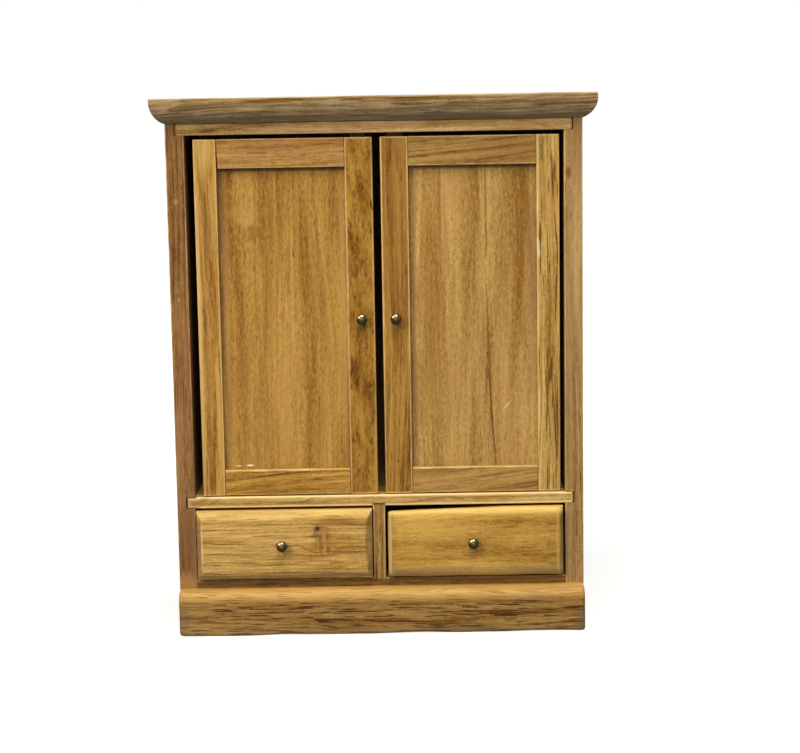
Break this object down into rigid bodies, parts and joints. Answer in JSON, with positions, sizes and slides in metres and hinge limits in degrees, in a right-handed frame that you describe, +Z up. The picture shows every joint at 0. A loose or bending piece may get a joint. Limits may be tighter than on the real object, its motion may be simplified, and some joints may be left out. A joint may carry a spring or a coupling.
{
  "type": "tv armoire",
  "caption": "Doll's-house oak television armoire: moulded cornice, frame-and-panel doors on brass pins over the TV bay, bevelled drawers and a rounded plinth.",
  "frame": {"origin": "on the floor, in the middle of the width and of the depth from the drawer knobs to the back", "axes": "+X to the right seen from the front, +Y to the back, +Z up; doors and drawers open towards -Y"},
  "size_m": [0.124, 0.0512, 0.1524],
  "materials": {
    "carcass_oak": "honey-stained open-pored oak, satin lacquer",
    "moulding_oak": "honey-stained open-pored oak, sanded rounds, satin lacquer",
    "door_frame_oak": "honey-stained oak, satin lacquer",
    "thin_panel_oak": "honey-stained thin oak panel, satin lacquer",
    "drawer_front_oak": "golden oak, bevelled, satin lacquer",
    "drawer_box_oak": "bare pale wood, sanded",
    "antique_brass": "dark antique brass, polished dome"
  },
  "bodies": {
    "carcass": {"left_side": "carcass_oak", "right_side": "carcass_oak", "carcass_top": "carcass_oak", "tv_shelf": "carcass_oak", "bottom_board": "carcass_oak", "drawer_divider": "carcass_oak", "cornice": "moulding_oak", "plinth": "moulding_oak", "back_panel": "thin_panel_oak", "door_stop": "carcass_oak", "left_upper_pin": "antique_brass", "left_lower_pin": "antique_brass", "right_upper_pin": "antique_brass", "right_lower_pin": "antique_brass"},
    "left_door": {"left_door_hinge_stile": "door_frame_oak", "left_door_meeting_stile": "door_frame_oak", "left_door_top_rail": "door_frame_oak", "left_door_bottom_rail": "door_frame_oak", "left_door_panel": "thin_panel_oak", "left_door_knob": "antique_brass"},
    "right_door": {"right_door_hinge_stile": "door_frame_oak", "right_door_meeting_stile": "door_frame_oak", "right_door_top_rail": "door_frame_oak", "right_door_bottom_rail": "door_frame_oak", "right_door_panel": "thin_panel_oak", "right_door_knob": "antique_brass"},
    "left_drawer": {"left_drawer_front": "drawer_front_oak", "left_drawer_left_wall": "drawer_box_oak", "left_drawer_right_wall": "drawer_box_oak", "left_drawer_back": "drawer_box_oak", "left_drawer_base": "drawer_box_oak", "left_drawer_knob": "antique_brass"},
    "right_drawer": {"right_drawer_front": "drawer_front_oak", "right_drawer_left_wall": "drawer_box_oak", "right_drawer_right_wall": "drawer_box_oak", "right_drawer_back": "drawer_box_oak", "right_drawer_base": "drawer_box_oak", "right_drawer_knob": "antique_brass"}
  },
  "joints": [
    {"name": "left_door_hinge", "type": "hinge", "parent": "carcass", "child": "left_door", "pos_m": [-0.0483, -0.018, 0.0904], "axis": [0, 0, -1], "range_deg": [0, 110]},
    {"name": "right_door_hinge", "type": "hinge", "parent": "carcass", "child": "right_door", "pos_m": [0.0494, -0.018, 0.0904], "axis": [0, 0, 1], "range_deg": [0, 110]},
    {"name": "left_drawer_slide", "type": "slide", "parent": "carcass", "child": "left_drawer", "axis": [0, -1, 0], "range_m": [0, 0.034]},
    {"name": "right_drawer_slide", "type": "slide", "parent": "carcass", "child": "right_drawer", "axis": [0, -1, 0], "range_m": [0, 0.034]}
  ]
}
